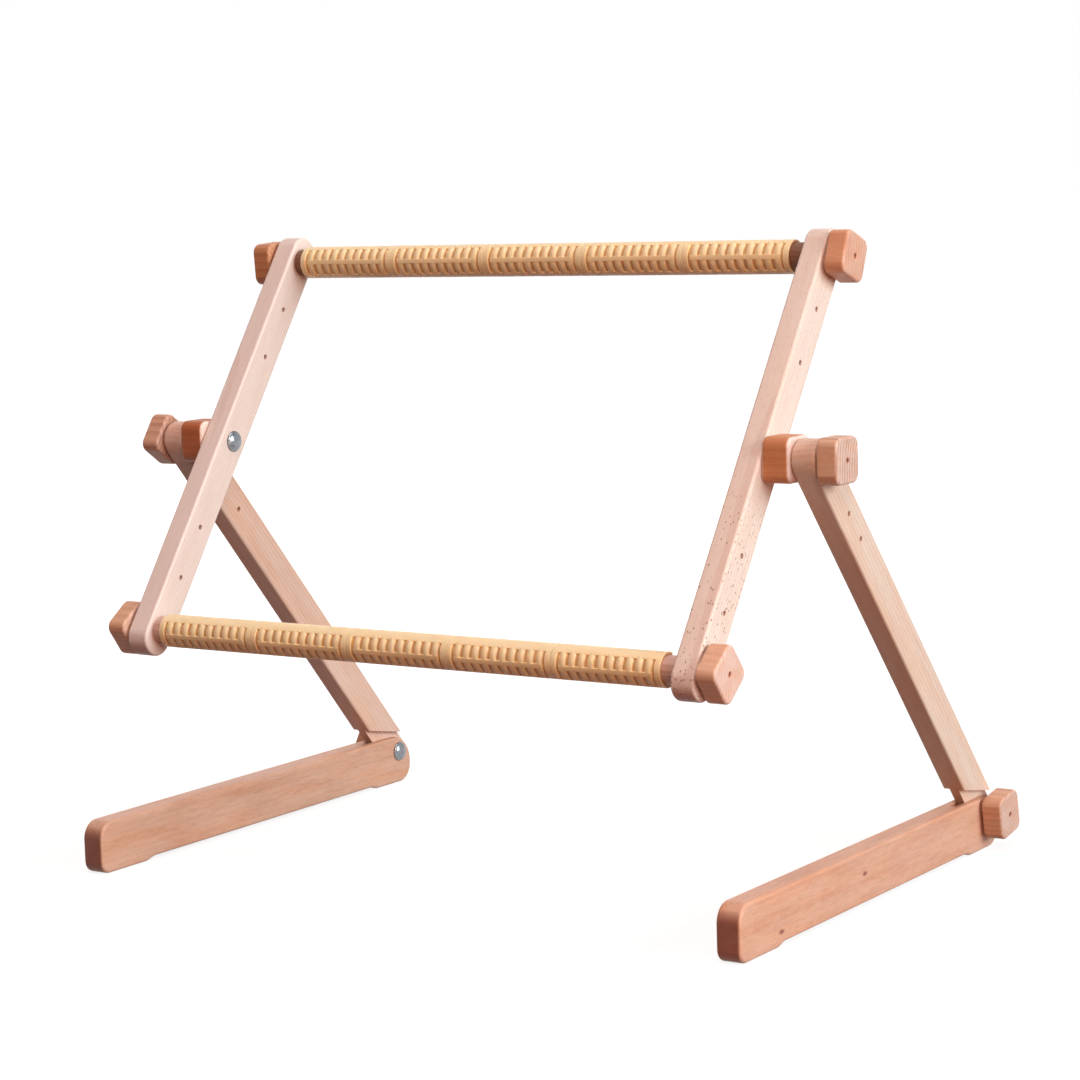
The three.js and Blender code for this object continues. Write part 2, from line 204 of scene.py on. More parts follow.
# Steamed beech, planed, sanded and lightly oiled: a pale pinkish wood with a satin surface. The eye
# reads soft growth lines along a board, which turn to arcs on its ends, warmer flushes, streaks of
# fibre, and beech's rays as short brown dashes. Real rays are 0.2 mm wide and are drawn 0.6 mm wide
# or more to show. Ends and sides of the grain take up the oil unlike and have a tint each; on the
# knobs and spacer blocks the sides' darker tint is painted shade on the side faces. All in mm.
def steamed_beech(name, pale, late, heart, along="Z", ring_mm=3.2, rings=0.3, streaks=0.4, patches=0.3,
                  rays=0.25, rays_to=None, ray_cell=(1.2, 4.2), ray="#9a6650", ends="#f0dcd4",
                  sides="#ffffff", ends_from=0.7, flush=0.6, knots=()):
    material = bpy.data.materials.new(name)
    material.use_nodes = True
    tree = material.node_tree
    tree.nodes.clear()
    spot = add_node(tree, "TexCoord", out="Object")
    facing = add_node(tree, "SeparateXYZ", {0: add_node(tree, "TexCoord", out="Normal")}, out=along)
    # the grain runs along the third axis, and the heart of the tree lies on it
    grain = add_node(tree, "Mapping", {
        "Vector": spot, "Scale": (1000, 1000, 1000), "Location": (-heart[0], -heart[1], 0),
        "Rotation": (0, 0 if along == "Z" else -pi / 2, 0)})
    slow = add_node(tree, "VectorMath", {0: grain, 1: (1, 1, 0.1)}, operation="MULTIPLY")
    # at scale 1 the rings stand 0.314 apart
    ring = add_node(tree, "TexWave", {
        "Vector": slow, "Scale": 0.314 / ring_mm, "Distortion": 4.5, "Detail": 2.0, "Detail Scale": 0.4,
        "Detail Roughness": 0.45}, out=1, wave_type="RINGS", rings_direction="Z", wave_profile="SAW")
    late_wood = add_node(tree, "MapRange", {"Value": ring, "From Min": 0.3, "From Max": 0.95},
                         interpolation_type="SMOOTHSTEP")
    # fibres: real ones are far finer, and are drawn 1.6 mm wide and 14 mm long
    along_fibres = add_node(tree, "VectorMath", {0: grain, 1: (0.62, 0.62, 0.07)}, operation="MULTIPLY")
    fibres = add_node(tree, "TexNoise", {
        "Vector": along_fibres, "Scale": 1.0, "Detail": 3.0, "Roughness": 0.65})
    broad = add_node(tree, "VectorMath", {0: grain, 1: (0.07, 0.07, 0.012)}, operation="MULTIPLY")
    cloud = add_node(tree, "TexNoise", {"Vector": broad, "Scale": 1.0, "Detail": 2.0})
    tone = 0.2 - streaks - patches
    tone = add_node(tree, "Math", {0: late_wood, 1: rings, 2: tone}, operation="MULTIPLY_ADD")
    tone = add_node(tree, "Math", {0: fibres, 1: streaks * 2, 2: tone}, operation="MULTIPLY_ADD")
    tone = add_node(tree, "Math", {0: cloud, 1: patches * 2, 2: tone}, operation="MULTIPLY_ADD",
                    use_clamp=True)
    colour = add_node(tree, "Mix", {0: tone, 6: linear(pale), 7: linear(late)}, out=2, data_type="RGBA")
    warmer = add_node(tree, "SeparateColor", {0: cloud.node.outputs["Color"]}, out=2)
    warmer = add_node(tree, "MapRange", {
        "Value": warmer, "From Min": 0.42, "From Max": 0.62, "To Max": flush})
    colour = add_node(tree, "Mix", {0: warmer, 6: colour, 7: linear("#ffeede")}, out=2, data_type="RGBA",
                      blend_type="MULTIPLY")
    # rays: dashes half as wide and as long as their cells, of which about a third hold one
    across, length = ray_cell
    per_cell = (1 / across, 1 / across, 1 / length)
    cells = add_node(tree, "VectorMath", {0: grain, 1: per_cell}, operation="MULTIPLY")
    near = add_node(tree, "TexVoronoi", {"Vector": cells, "Scale": 1.0})
    dash = add_node(tree, "MapRange", {
        "Value": near, "From Min": 0.16, "From Max": 0.34, "To Min": 1.0, "To Max": 0.0})
    drawn = add_node(tree, "SeparateColor", {0: near.node.outputs["Color"]})
    drawn = add_node(tree, "MapRange", {"Value": drawn, "From Min": 0.6, "From Max": 0.7, "To Max": rays})
    dash = add_node(tree, "Math", {0: dash, 1: drawn}, operation="MULTIPLY")
    if rays_to:
        height = add_node(tree, "SeparateXYZ", {0: grain}, out="Z")
        share = add_node(tree, "MapRange", {
            "Value": height, "From Min": rays_to[0], "From Max": rays_to[1], "To Min": 1.0, "To Max": 0.2})
        dash = add_node(tree, "Math", {0: dash, 1: share}, operation="MULTIPLY")
    colour = add_node(tree, "Mix", {0: dash, 6: colour, 7: linear(ray)}, out=2, data_type="RGBA")
    facing = add_node(tree, "Math", {0: facing}, operation="ABSOLUTE")
    endwise = add_node(tree, "MapRange", {
        "Value": facing, "From Min": ends_from, "From Max": ends_from + 0.29})
    # tint by end or side grain: oil uptake on the bars, painted shade on the sides of knobs and blocks
    grain_tint_and_painted_shade = add_node(tree, "Mix", {0: endwise, 6: linear(sides), 7: linear(ends)}, out=2, data_type="RGBA")
    colour = add_node(tree, "Mix", {0: 1.0, 6: colour, 7: grain_tint_and_painted_shade}, out=2, data_type="RGBA",
                      blend_type="MULTIPLY")
    for y, z, long, wide in knots:
        off = add_node(tree, "Mapping", {
            "Vector": spot, "Scale": (0, 1000 / wide, 1000 / long), "Location": (0, -y / wide, -z / long)})
        off = add_node(tree, "VectorMath", {0: off}, out="Value", operation="LENGTH")
        inside = add_node(tree, "MapRange", {
            "Value": off, "From Min": 0.4, "From Max": 1.3, "To Min": 0.9, "To Max": 0.0})
        colour = add_node(tree, "Mix", {0: inside, 6: colour, 7: linear("#7a3426")}, out=2,
                          data_type="RGBA")
    # open pores and raised fibres leave the surface very slightly furrowed
    relief = add_node(tree, "Math", {0: late_wood, 1: 0.4, 2: fibres}, operation="MULTIPLY_ADD")
    bump = add_node(tree, "Bump", {"Height": relief, "Distance": 0.00005, "Strength": 0.3})
    gloss = add_node(tree, "MapRange", {
        "Value": fibres, "From Min": 0.2, "From Max": 0.8, "To Min": 0.38, "To Max": 0.5})
    shader = add_node(tree, "BsdfPrincipled", {
        "Base Color": colour, "Roughness": gloss, "Normal": bump, "IOR": 1.5, "Specular IOR Level": 0.3})
    add_node(tree, "OutputMaterial", {0: shader})
    return material


def foot_outline():
    """The foot seen from the side, with its bolt at the origin."""
    front, heel = -FOOT_FRONT, FOOT_REAR - FOOT_PADS[1]
    pad_end = front + FOOT_PADS[0]
    (nt, nb), (ht, hb) = FOOT_NOSE, FOOT_HEEL
    points = arc(front + nb, nb, nb, 2, 3, 8)
    points += eased_rise(pad_end, pad_end + RELIEF_SLOPE, 0, RELIEF_DEPTH)
    points += eased_rise(heel - RELIEF_SLOPE, heel, RELIEF_DEPTH, 0)
    points += arc(FOOT_REAR - hb, hb, hb, 3, 4, 12) + arc(FOOT_REAR - ht, FOOT_HEIGHT - ht, ht, 0, 1, 12)
    points += arc(front + nt, FOOT_HEIGHT - nt, nt, 1, 2, 10)
    return [(y, z - FOOT_PIVOT[1]) for y, z in points]


# Each foot's own board: its colours, and where the tree's heart lay from it. A knot is given by its
# height over the bolt, its distance in front of it, its length and its width.
FOOT_BOARDS = {
    "left": dict(pale="#dab09a", late="#ba8972", heart=(60, 130), ring_mm=5.5, rings=0.1, streaks=0.6,
                 patches=0.6, rays=0.3, ends="#b19590"),
    "right": dict(pale="#daac94", late="#bc846c", heart=(-40, 150), ring_mm=6.5, rings=0.1, streaks=0.6,
                  patches=0.6, rays=0.22, ends="#b19590",
                  knots=((-20.2, 397.1, 4.6, 2.2), (-3.8, 249.3, 4.2, 2.0))),
}
for label, side in SIDES.items():
    fork = block("fork", (-FORK_WIDTH / 2, -FORK_FRONT, -60), (FORK_WIDTH / 2, FOOT_REAR + 5, 60))
    piece = board(f"{label}_foot_bar", foot_outline(), FOOT_THICKNESS, FOOT_EDGE)
    cut_away(piece, [fork, drill(FOOT_THICKNESS, BORE_RADIUS), neck_seat(side, FOOT_THICKNESS)])
    # the foot's grain runs along y, so the board is drawn upright and laid down by its own turn
    for vertex in piece.data.vertices:
        x, y, z = vertex.co
        vertex.co = (x, z, -y)
    wood = steamed_beech(f"steamed_beech_{label}_foot", **FOOT_BOARDS[label])
    seat(piece, f"{label}_foot", f"{label}_foot", "beech", wood, side * LEG_MIDDLE, *FOOT_PIVOT, 90)

# ---- legs ----
# A beech bar with round ends. Its lower end is cut down to a tenon that turns in the foot's fork,
# under mitred shoulders that stop against the foot. Two small holes below the top are spare places.
LEG_SPAN = 473.4
LEG_WIDTH = 35.5
LEG_THICKNESS = 22.5
LEG_EDGE = 2.5
LEG_LEAN = 40.7
STOP_LEAN = 56                     # where the front shoulder meets the foot
FRONT_CLEARANCE = 0.3              # of the shoulder over the foot, in front at the stop
REAR_CLEARANCE = 4.1               # and at the back as the leg stands
LEG_HOLES = (65.4, 97)             # down from the top bolt
TENON_THICKNESS = 9
SMALL_HOLE_RADIUS = 2.3


def round_ended_bar(low, high, width):
    """A bar with half-round ends, centred on two heights."""
    return arc(0, low, width / 2, 2, 4, 24) + arc(0, high, width / 2, 0, 2, 24)


stop_sin, stop_cos = sin(radians(STOP_LEAN)), cos(radians(STOP_LEAN))
lean_sin, lean_cos = sin(radians(LEG_LEAN)), cos(radians(LEG_LEAN))
foot_top = FOOT_HEIGHT - FOOT_PIVOT[1]
shoulder_front = (foot_top + FRONT_CLEARANCE + LEG_WIDTH / 2 * stop_sin) / stop_cos
shoulder_rear = (foot_top + REAR_CLEARANCE - LEG_WIDTH / 2 * lean_sin) / lean_cos
LEG_BOARDS = {
    "left": dict(pale="#e6c9bb", late="#cba08e", heart=(12, 110), ring_mm=4.2, rays=0.2, ends="#fff6f2"),
    "right": dict(pale="#e2cfc2", late="#cca593", heart=(-16, 125), ring_mm=4.6, rays=0.16, ends="#fff6f2"),
}
for label, side in SIDES.items():
    slope = (shoulder_front - shoulder_rear) / LEG_WIDTH
    reach = LEG_WIDTH / 2 + 5
    waste = [(-reach, -reach), (reach, -reach),
             (reach, shoulder_rear - slope * 5), (-reach, shoulder_front + slope * 5)]
    cheek = LEG_THICKNESS - TENON_THICKNESS
    cheeks = [board("cheek", waste, cheek, 0), board("cheek", waste, cheek, 0)]
    cheeks[0].location.x = (TENON_THICKNESS + cheek) / 2 * MM
    cheeks[1].location.x = -cheeks[0].location.x
    piece = board(f"{label}_leg_bar", round_ended_bar(0, LEG_SPAN, LEG_WIDTH), LEG_THICKNESS, LEG_EDGE)
    small = [drill(LEG_THICKNESS, SMALL_HOLE_RADIUS, LEG_SPAN - down) for down in LEG_HOLES]
    bores = [drill(LEG_THICKNESS, BORE_RADIUS, z) for z in (0, LEG_SPAN)]
    cut_away(piece, cheeks + small + bores)
    wood = steamed_beech(f"steamed_beech_{label}_leg", **LEG_BOARDS[label])
    seat(piece, f"{label}_leg", f"{label}_leg", "beech", wood, side * LEG_MIDDLE, *FOOT_PIVOT, LEG_LEAN)

# ---- frame arms ----
# The two sides of the working frame, beech bars with round ends, bolted to the legs at the middle
# and bored at both ends for the rollers. Four small holes a side are spare places.
TOP_PIVOT = (-88.262, 391.901)
FRAME_TILT = 35
ROLLER_REACH = 200
ARM_INNER = 279.7
ARM_WIDTH = 34.5
ARM_THICKNESS = 22.5
ARM_OVERHANG = 8                   # from a roller's axis to the centre of the round end
ARM_EDGE = 2.5
ARM_HOLES = (92.8, 146)
ARM_BOARDS = {
    "left": dict(pale="#eedfd9", late="#dcc2ba", heart=(-10, 120), ring_mm=3.6, rays=0.12, flush=0.1,
                 ends="#cfa59a"),
    "right": dict(pale="#eee0d8", late="#d9bdb2", heart=(9, 110), ring_mm=4.4, rays=0.95,
                  rays_to=(-110, -20), ray_cell=(2.2, 4.4), ray="#80503f", flush=0.2, ends="#cfa59a"),
}
for label, side in SIDES.items():
    end = ROLLER_REACH + ARM_OVERHANG
    piece = board(f"{label}_arm_bar", round_ended_bar(-end, end, ARM_WIDTH), ARM_THICKNESS, ARM_EDGE)
    bores = [drill(ARM_THICKNESS, BORE_RADIUS, z) for z in (-ROLLER_REACH, 0, ROLLER_REACH)]
    small = [drill(ARM_THICKNESS, SMALL_HOLE_RADIUS, z * way) for z in ARM_HOLES for way in (1, -1)]
    cut_away(piece, bores + small + [neck_seat(side, ARM_THICKNESS)])
    wood = steamed_beech(f"steamed_beech_{label}_arm", **ARM_BOARDS[label])
    x = side * (ARM_INNER + ARM_THICKNESS / 2)
    seat(piece, f"{label}_arm", "frame", "beech", wood, x, *TOP_PIVOT, -FRAME_TILT)

# ---- spacer blocks ----
# A rounded square of beech between each arm and its leg, loose on the pivot bolt, which holds the
# arm out so that the roller knobs pass the leg. Its grain runs along the bolt, with end grain out.
BLOCK_WIDTH = 39.5
BLOCK_THICKNESS = 26.5
BLOCK_CORNER = 8.5
BLOCK_EDGE = 3.5
BLOCK_GAP = 0.3                    # between the arm and its block


def rounded_square(width, corner):
    """A square with rounded corners, centred on the bolt."""
    c = width / 2 - corner
    centres = ((c, -c), (c, c), (-c, c), (-c, -c))
    return [point for i, (y, z) in enumerate(centres) for point in arc(y, z, corner, i - 1, i, 9)]


# The sides' orange tint is painted shade on the side faces, and the left block's deeper tint adds painted
# shadow from the left arm.
BLOCK_BOARDS_WITH_PAINTED_SHADE = {
    "left": dict(pale="#f0e0dd", late="#cfa99c", heart=(-60, 90), sides="#bf7848"),
    "right": dict(pale="#f0e0dd", late="#cfa99c", heart=(70, 85), sides="#dfa576"),
}
for label, side in SIDES.items():
    piece = board(f"{label}_spacer", rounded_square(BLOCK_WIDTH, BLOCK_CORNER), BLOCK_THICKNESS, BLOCK_EDGE)
    cut_away(piece, [drill(BLOCK_THICKNESS, BORE_RADIUS)])
    wood = steamed_beech(f"steamed_beech_{label}_spacer", along="X", ends="#ffffff", ends_from=0.3,
                         **BLOCK_BOARDS_WITH_PAINTED_SHADE[label])
    x = side * (ARM_INNER + ARM_THICKNESS + BLOCK_GAP + BLOCK_THICKNESS / 2)
    seat(piece, f"{label}_spacer_block", f"{label}_spacer_block", "beech", wood, x, *TOP_PIVOT)

# ---- roller dowels ----
# Two 25 mm beech dowels, turned and oiled darker than the bars, bored at both ends for their studs.
# The top one is drawn darker still, as painted shadow of the arms.
DOWEL_RADIUS = 12.5
DOWEL_HALF = 279.4
DOWEL_EDGE = 0.6
DOWEL_BORE_RADIUS = 4.3
DOWEL_BORE_FROM = 247.1
tilt_sin, tilt_cos = sin(radians(FRAME_TILT)), cos(radians(FRAME_TILT))
ROLLER_AXES = {
    "top": (TOP_PIVOT[0] + ROLLER_REACH * tilt_sin, TOP_PIVOT[1] + ROLLER_REACH * tilt_cos),
    "bottom": (TOP_PIVOT[0] - ROLLER_REACH * tilt_sin, TOP_PIVOT[1] - ROLLER_REACH * tilt_cos),
}
DOWEL_BOARDS_TOP_PAINTED_SHADE = {
    # the top dowel's dark colours are painted shadow
    "top": dict(pale="#88634d", late="#6a422b", heart=(-25, 20)),
    "bottom": dict(pale="#d9b9b0", late="#b89082", heart=(30, 15)),
}
for label, axis in ROLLER_AXES.items():
    profile = [(-DOWEL_BORE_FROM, 0), (-DOWEL_BORE_FROM, DOWEL_BORE_RADIUS)]
    profile += [(-DOWEL_HALF, DOWEL_BORE_RADIUS), (-DOWEL_HALF, DOWEL_RADIUS - DOWEL_EDGE)]
    profile += [(-DOWEL_HALF + DOWEL_EDGE, DOWEL_RADIUS)]
    profile += [(-x, radius) for x, radius in reversed(profile)]
    wood = steamed_beech(f"oiled_beech_{label}_dowel", along="X", rings=0.5, **DOWEL_BOARDS_TOP_PAINTED_SHADE[label])
    piece = turned(f"{label}_dowel", profile, 72)
    seat(piece, f"{label}_roller", f"{label}_roller", "dowel", wood, 0, *axis)

# ---- cloth clips ----
# Five sleeves of injection-moulded polypropylene on each roller, open along one side so that they
# spring over the dowel and the edge of the cloth. A row of slots either side of a plain spine leaves
# crowned ribs, which let the sleeve bend.
CLIP_PITCH = 107.26
CLIP_GAP = 0.3
CLIP_START = -270.0
CLIP_INNER = 12.8
CLIP_OUTER = 15.1
CLIP_HALF_ROUND = 130              # degrees from the spine to each lip
SLOT_PITCH = 9.345
SLOT_FIRST = 6.9
SLOTS = 11
SLOT_HALF = 1.5                    # half a slot's width
SLOT_DEPTH = 1.5
SLOT_WALL = 0.4                    # how far a slot's wall slopes in
SLOT_ROWS = (8, 53)                # degrees from the spine, where each row starts and ends
SLOT_END = 1.2                     # degrees that a slot's end slopes in
RIB_CROWN = 0.9
CLIP_EDGE = 0.35
NEAR_ZERO = 0.01                   # keeps a grid line on a slot's edge on its own side
SPINES = {"top": 177, "bottom": 191}


def clip_radius(x, turn):
    """The sleeve's outer radius at x from its left end and turn degrees from the spine."""
    away = abs(turn)
    start, end = SLOT_ROWS
    number = min(SLOTS - 1, max(0, round((x - SLOT_FIRST) / SLOT_PITCH)))
    off = x - SLOT_FIRST - number * SLOT_PITCH
    if away > end + NEAR_ZERO:
        return CLIP_OUTER
    # the first and last slots run on across the spine
    beyond_start = number in (0, SLOTS - 1) or away > start + SLOT_END / 2
    if abs(off) < SLOT_HALF - SLOT_WALL + NEAR_ZERO and beyond_start and away < end - SLOT_END / 2:
        return CLIP_OUTER - SLOT_DEPTH
    among_ribs = SLOT_FIRST < x < SLOT_FIRST + (SLOTS - 1) * SLOT_PITCH and away > start
    if not among_ribs or abs(off) < SLOT_HALF - NEAR_ZERO:
        return CLIP_OUTER
    from_crown = (SLOT_PITCH / 2 - abs(off)) / (SLOT_PITCH / 2 - SLOT_HALF)
    return CLIP_OUTER - RIB_CROWN * min(1.0, from_crown * from_crown)


def clip_sleeve(name, spine):
    """One sleeve along x from 0, its surface drawn as a grid whose lines follow every slot's walls."""
    length = CLIP_PITCH - CLIP_GAP
    stations = [0, CLIP_EDGE, 1.6, length - 1.6, length - CLIP_EDGE, length]
    wall = SLOT_HALF - SLOT_WALL
    for i in range(SLOTS):
        centre = SLOT_FIRST + i * SLOT_PITCH
        stations += [centre + s for s in (-SLOT_HALF, -wall, 0, wall, SLOT_HALF)]
        if i < SLOTS - 1:
            stations += [centre + SLOT_PITCH / 2 + 0.8 * step for step in range(-3, 4)]
    start, end = SLOT_ROWS
    row_half = (end - start) / 2 - SLOT_END
    half = [0, 4, start] + [start + SLOT_END + row_half * i / 6 for i in range(13)]
    half += [end] + [end + 3 + (CLIP_HALF_ROUND - end - 3) * i / 12 for i in range(13)]
    turns = sorted(set([-t for t in half] + half))
    stations = sorted(stations)
    bm = bmesh.new()
    outer, inner = [], []
    for x in stations:
        eased = CLIP_EDGE if x in (0, length) else 0.0
        row = []
        for turn in turns:
            radius, a = clip_radius(x, turn) - eased, radians(spine + turn)
            row.append(bm.verts.new((x, radius * cos(a), radius * sin(a))))
        outer.append(row)
    for x in (0, length):
        around = [radians(spine + t) for t in turns]
        inner.append([bm.verts.new((x, CLIP_INNER * cos(a), CLIP_INNER * sin(a))) for a in around])
    for rows in (outer, inner):
        for low, high in zip(rows, rows[1:]):
            for i in range(1, len(turns)):
                bm.faces.new((low[i - 1], low[i], high[i], high[i - 1]))
    for a, b in ((inner[0], outer[0]), (inner[1], outer[-1])):
        for i in range(1, len(turns)):
            bm.faces.new((a[i - 1], a[i], b[i], b[i - 1]))
    for i in (0, -1):
        bm.faces.new([row[i] for row in outer] + [inner[1][i], inner[0][i]])
    return new_piece(name, bm)


# Polypropylene with a honey pigment, straight from the mould: semi-matte and a little translucent.
# The slots' floors are drawn a darker tan: painted shade in the slots, together with the brown of the
# dowel that shows through the thin floors. The mould's fine grit is drawn 0.9 mm across to show.
polypropylene = bpy.data.materials.new("honey_polypropylene")
polypropylene.use_nodes = True
tree = polypropylene.node_tree
tree.nodes.clear()
spot = add_node(tree, "TexCoord", out="Object")
mottle = add_node(tree, "TexNoise", {"Vector": spot, "Scale": 70.0, "Detail": 2.0})
grit = add_node(tree, "TexNoise", {"Vector": spot, "Scale": 1100.0, "Detail": 1.0})
honey = add_node(tree, "Mix", {0: mottle, 6: linear("#fbe8be"), 7: linear("#f6ddae")}, out=2,
                 data_type="RGBA")
from_axis = add_node(tree, "VectorMath", {0: spot, 1: (0, 1, 1)}, operation="MULTIPLY")
from_axis = add_node(tree, "VectorMath", {0: from_axis}, out="Value", operation="LENGTH")
# painted shade: nearer the axis, in the slots, the colour turns a darker tan
painted_slot_shade = add_node(tree, "MapRange", {"Value": from_axis, "From Min": 0.0136, "From Max": 0.0142})
honey = add_node(tree, "Mix", {0: painted_slot_shade, 6: linear("#d4aa76"), 7: honey}, out=2, data_type="RGBA")
bump = add_node(tree, "Bump", {"Height": grit, "Distance": 0.00005, "Strength": 0.25})
sheen = add_node(tree, "MapRange", {"Value": mottle, "To Min": 0.38, "To Max": 0.5})
shader = add_node(tree, "BsdfPrincipled", {
    "Base Color": honey, "Roughness": sheen, "Normal": bump, "IOR": 1.49, "Specular IOR Level": 0.3,
    "Subsurface Weight": 0.45, "Subsurface Radius": (1.0, 0.45, 0.15), "Subsurface Scale": 0.008})
shader.node.subsurface_method = "BURLEY"
add_node(tree, "OutputMaterial", {0: shader})
for label, axis in ROLLER_AXES.items():
    sleeve = clip_sleeve(f"{label}_sleeve", SPINES[label])
    for i in range(5):
        piece = bpy.data.objects.new(f"{label}_sleeve_{i + 1}", sleeve.data)
        bpy.context.scene.collection.objects.link(piece)
        x = CLIP_START + CLIP_PITCH * i + CLIP_GAP / 2
        seat(piece, f"{label}_clip_{i + 1}", f"{label}_roller", "cloth_clip", polypropylene, x, *axis)
    bpy.data.objects.remove(sleeve)

# ---- knobs ----
# Eight rounded squares of beech with end grain outward, eased all round, each with a small hole
# through its middle and a seat in its inner face for the flanged nut that takes the bolt or stud.
KNOB_WIDTH = 39.5
KNOB_THICKNESS = 19.8
KNOB_EDGE = 2.7
KNOB_HOLE_RADIUS = 2.4
FLANGE_SEAT = (11.3, 1.8)          # radius and depth
BARREL_SEAT = (5.9, 12.8)
LEG_OUTER = LEG_MIDDLE + LEG_THICKNESS / 2
FOOT_OUTER = LEG_MIDDLE + FOOT_THICKNESS / 2
ARM_OUTER = ARM_INNER + ARM_THICKNESS
KNOB_SEAT = 2.2                    # from the wood to the knob: a washer and its clearance
# Each knob: the wood's face, its axis, how far it is turned, its two colours, its heart and rings.
KNOBS = {
    "right_top": (ARM_OUTER, ROLLER_AXES["top"], -22, "#e0b6a2", "#bd8871", (-20, 90), 0.4),
    "right_bottom": (ARM_OUTER, ROLLER_AXES["bottom"], 38, "#e6c8bd", "#cb9f8c", (80, 60), 0.3),
    # the left top knob's darker colours are painted shadow of the left arm
    "left_top": (ARM_OUTER, ROLLER_AXES["top"], 4, "#d09c7c", "#ae7452", (40, 80), 0.45),
    "left_bottom": (ARM_OUTER, ROLLER_AXES["bottom"], 35, "#dec0b2", "#be9684", (-85, 30), 0.4),
    "right_pivot": (LEG_OUTER, TOP_PIVOT, 0, "#e0c4ba", "#ae8674", (14, 90), 0.6),
    "left_pivot": (LEG_OUTER, TOP_PIVOT, -35, "#dcb6a8", "#a87c6c", (30, 90), 0.5),
    "right_foot": (FOOT_OUTER, FOOT_PIVOT, 10, "#dcbaac", "#b78e80", (90, 40), 0.4),
    "left_foot": (FOOT_OUTER, FOOT_PIVOT, -34, "#d7ad98", "#bd8d78", (60, 70), 0.35),
}


def knob(name):
    """A knob about x, with its nut's seat in its inner face at -x."""
    face = -KNOB_THICKNESS / 2
    piece = board(name, rounded_square(KNOB_WIDTH, BLOCK_CORNER), KNOB_THICKNESS, KNOB_EDGE)
    cutters = []
    for before, (radius, depth) in ((5, FLANGE_SEAT), (6, BARREL_SEAT)):
        low, high = face - before, face + depth
        cutters.append(turned("seat", [(low, 0), (low, radius), (high, radius), (high, 0)], 32))
    return cut_away(piece, cutters + [drill(KNOB_THICKNESS, KNOB_HOLE_RADIUS, eased=0.7)])


for label, (face, axis, turn, pale, late, heart, rings) in KNOBS.items():
    side = SIDES[label.split("_")[0]]
    # the sides' warmer tint, against white end grain, is painted shade on the side faces
    wood = steamed_beech(f"steamed_beech_{label}_knob", pale, late, heart, "X", 4.4, rings,
                         ends="#ffffff", sides="#fdeeda", ends_from=0.35)
    x = side * (face + KNOB_SEAT + KNOB_THICKNESS / 2)
    seat(knob(f"{label}_square"), f"{label}_knob", f"{label}_knob", "beech", wood, x, *axis, turn, side)

# ---- bolts, studs, washers and nuts ----
# M8 hardware, pressed or rolled steel with a bright zinc plate: carriage bolts with a domed head
# over a square neck at the four joints, plain washers, studs and flanged nuts.
HEAD_RADIUS = 10
HEAD_HEIGHT = 4.8
HEAD_GAP = 0.3                     # under a head, and between a washer and the wood
NECK_WIDTH = 8.5
NECK_LENGTH = 4
SHANK_RADIUS = 4
SHANK_PAST_FACE = 14.7             # from the wood under a knob to the end of the shank
WASHER_RADIUS = 12
WASHER_THICKNESS = 1.6
WASHER_EDGE = 0.4

# Bright zinc plate on smooth steel: a cool grey metal with clear reflections, duller in clouds of
# about 4 mm where the bath left it so. Its colour is drawn darker than bright zinc, darker still in
# those clouds, as painted dark reflections.
zinc = bpy.data.materials.new("bright_zinc_plate")
zinc.use_nodes = True
tree = zinc.node_tree
tree.nodes.clear()
spot = add_node(tree, "TexCoord", out="Object")
cloudy = add_node(tree, "TexNoise", {"Vector": spot, "Scale": 260.0, "Detail": 3.0})
# the dark grey, and the darker clouds, are painted dark reflections
tint = add_node(tree, "Mix", {0: cloudy, 6: linear("#a0a4a9"), 7: linear("#6a6e74")}, out=2,
                data_type="RGBA")
dull = add_node(tree, "MapRange", {"Value": cloudy, "To Min": 0.1, "To Max": 0.22})
shader = add_node(tree, "BsdfPrincipled", {"Base Color": tint, "Metallic": 1.0, "Roughness": dull})
add_node(tree, "OutputMaterial", {0: shader})


def carriage_bolt(name, length):
    """Head, square neck and shank in one, with the head seated on x = 0."""
    profile = [(-HEAD_GAP - HEAD_HEIGHT, 0)]
    for i in range(1, 13):
        t = pi / 2 * (1 - 0.9 * i / 12)
        profile.append((-HEAD_GAP - HEAD_HEIGHT * sin(t), HEAD_RADIUS * cos(t)))
    profile += [(-HEAD_GAP, HEAD_RADIUS - 0.1), (-HEAD_GAP, SHANK_RADIUS)]
    profile += [(length - 0.8, SHANK_RADIUS), (length, SHANK_RADIUS - 0.8), (length, 0)]
    piece = turned(name, profile)
    bm = bmesh.new()
    bm.from_mesh(piece.data)
    corners = bmesh.ops.create_cube(bm, size=NECK_WIDTH * MM)["verts"]
    for corner in corners:
        corner.co.x = (NECK_LENGTH if corner.co.x > 0 else -HEAD_GAP) * MM
    bm.to_mesh(piece.data)
    bm.free()
    return piece


for label, side in SIDES.items():
    bolts = (("pivot", "frame", ARM_INNER, LEG_OUTER, TOP_PIVOT, -FRAME_TILT),
             ("foot", f"{label}_foot", FOOT_OUTER - FOOT_THICKNESS, FOOT_OUTER, FOOT_PIVOT, 0))
    for joint, body, face, outer, axis, turn in bolts:
        piece = carriage_bolt(f"{label}_{joint}_carriage_bolt", outer + SHANK_PAST_FACE - face)
        seat(piece, f"{label}_{joint}_bolt", body, "zinc_plate", zinc, side * face, *axis, turn, side)
for label, (face, axis, *_) in KNOBS.items():
    side, joint = SIDES[label.split("_")[0]], label.split("_")[1]
    body = label if joint == "foot" else "frame"
    half = [(0, BORE_RADIUS), (0, WASHER_RADIUS - WASHER_EDGE), (WASHER_EDGE, WASHER_RADIUS)]
    profile = half + [(WASHER_THICKNESS - x, radius) for x, radius in reversed(half)] + half[:1]
    washer = turned(f"{label}_plain_washer", profile)
    x = side * (face + HEAD_GAP)
    seat(washer, f"{label}_washer", body, "zinc_plate", zinc, x, *axis, 0, side)
